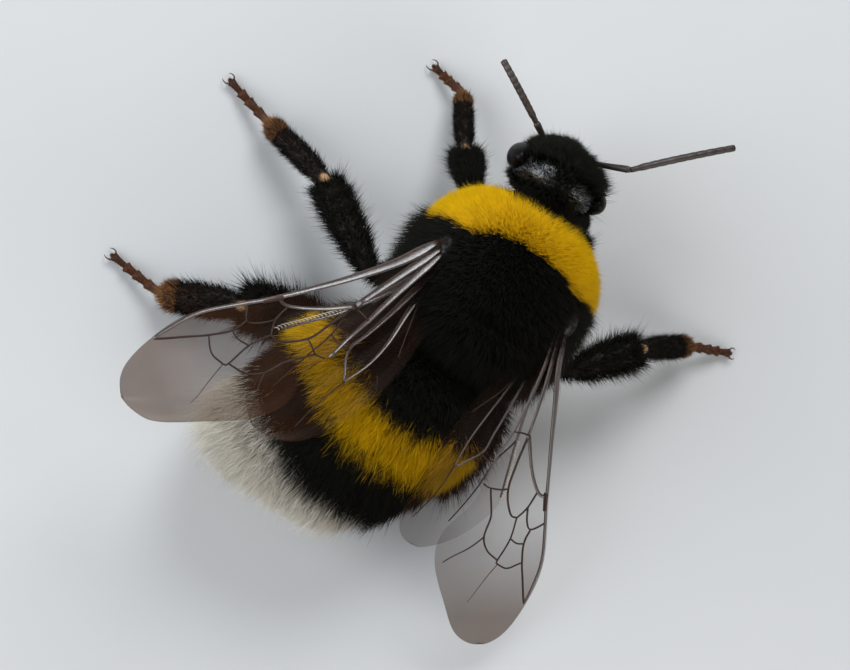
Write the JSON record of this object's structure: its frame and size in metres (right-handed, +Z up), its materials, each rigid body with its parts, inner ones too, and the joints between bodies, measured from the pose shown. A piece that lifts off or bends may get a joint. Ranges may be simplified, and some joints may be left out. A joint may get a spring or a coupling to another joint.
{
  "type": "bumblebee",
  "caption": "Queen bumblebee at life size, standing with its wings half spread: yellow collar and waist band, black body, white tail.",
  "frame": {"origin": "centre of the whole bee's box at floor level", "axes": "+Z up, the bee faces -Y, its left side is +X"},
  "size_m": [0.0286, 0.026, 0.0105],
  "materials": {
    "black_coat": "matte dense fur",
    "yellow_coat": "matte dense fur",
    "white_coat": "matte dense fur",
    "shell": "smooth shiny horny shell",
    "eye": "finely pitted gloss",
    "limb": "hairy horny shell",
    "toes": "reddish brown horny shell",
    "wing": "clear smoky membrane with dark veins"
  },
  "bodies": {
    "root": {"thorax": "black_coat", "head": "black_coat", "eye_left": "eye", "eye_right": "eye", "mandible_left": "toes", "mandible_right": "toes", "abdomen_plate_1": "black_coat", "abdomen_plate_2": "yellow_coat", "abdomen_plate_3": "black_coat", "abdomen_plates_4_5": "white_coat", "abdomen_tip": "shell", "leg_front_left_femur": "limb", "leg_front_left_tibia": "limb", "leg_front_left_basitarsus": "limb", "leg_front_left_tarsus": "toes", "leg_front_right_femur": "limb", "leg_front_right_tibia": "limb", "leg_front_right_basitarsus": "limb", "leg_front_right_tarsus": "toes", "leg_middle_left_femur": "limb", "leg_middle_left_tibia": "limb", "leg_middle_left_basitarsus": "limb", "leg_middle_left_tarsus": "toes", "leg_middle_right_femur": "limb", "leg_middle_right_tibia": "limb", "leg_middle_right_basitarsus": "limb", "leg_middle_right_tarsus": "toes", "leg_hind_left_femur": "limb", "leg_hind_left_tibia": "limb", "leg_hind_left_basitarsus": "limb", "leg_hind_left_tarsus": "toes", "leg_hind_right_femur": "limb", "leg_hind_right_tibia": "limb", "leg_hind_right_basitarsus": "limb", "leg_hind_right_tarsus": "toes", "antenna_left_scape": "limb", "antenna_left_flagellum": "limb", "antenna_right_scape": "limb", "antenna_right_flagellum": "limb", "tegula_left": "shell", "tegula_right": "shell", "forewing_left": "wing", "hindwing_left": "wing", "forewing_right": "wing", "hindwing_right": "wing"}
  },
  "joints": []
}
